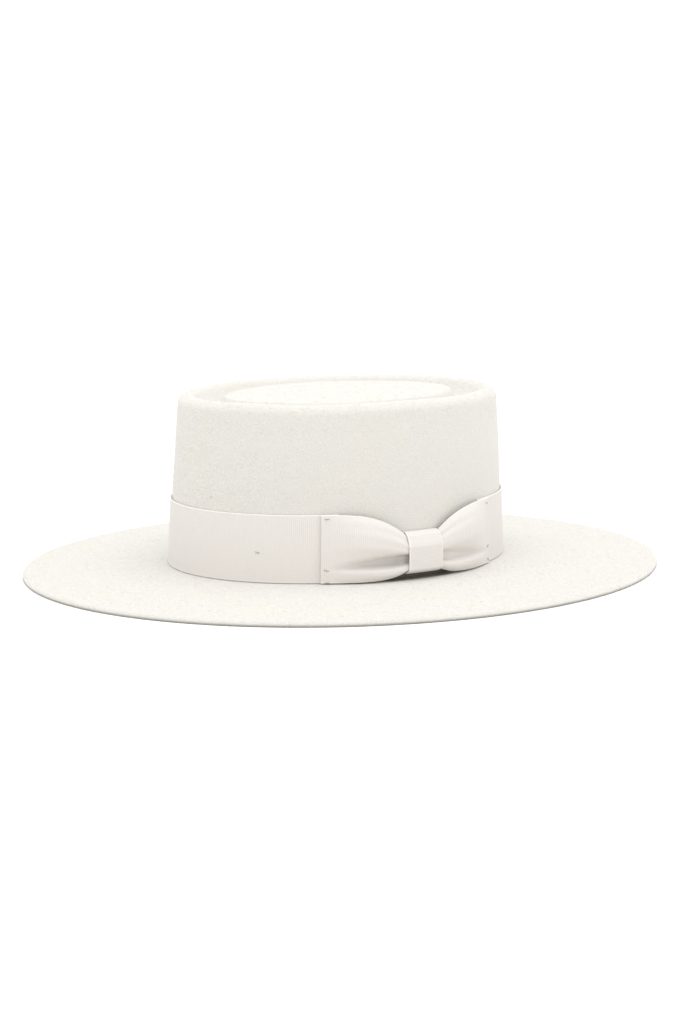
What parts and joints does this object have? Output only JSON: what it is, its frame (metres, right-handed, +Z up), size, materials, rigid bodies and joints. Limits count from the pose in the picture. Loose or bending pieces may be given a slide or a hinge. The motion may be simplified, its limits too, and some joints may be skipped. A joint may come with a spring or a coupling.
{
  "type": "gambler hat",
  "caption": "Wide flat-brimmed felt gambler hat with a telescope crown, a ribbon band and a flat side bow.",
  "frame": {"origin": "centre of the brim on the surface that the hat rests on", "axes": "+Z up through the crown; the wearer faces -Y; the bow is on the wearer's left, +X"},
  "size_m": [0.347, 0.379, 0.1035],
  "materials": {
    "felt": "white wool felt, matt, with fine short fibres",
    "ribbon": "ivory grosgrain ribbon, fine cross ribs, soft sheen"
  },
  "bodies": {
    "root": {"felt_body": "felt", "ribbon_band": "ribbon", "bow_loop": "ribbon", "bow_knot": "ribbon"}
  },
  "joints": []
}
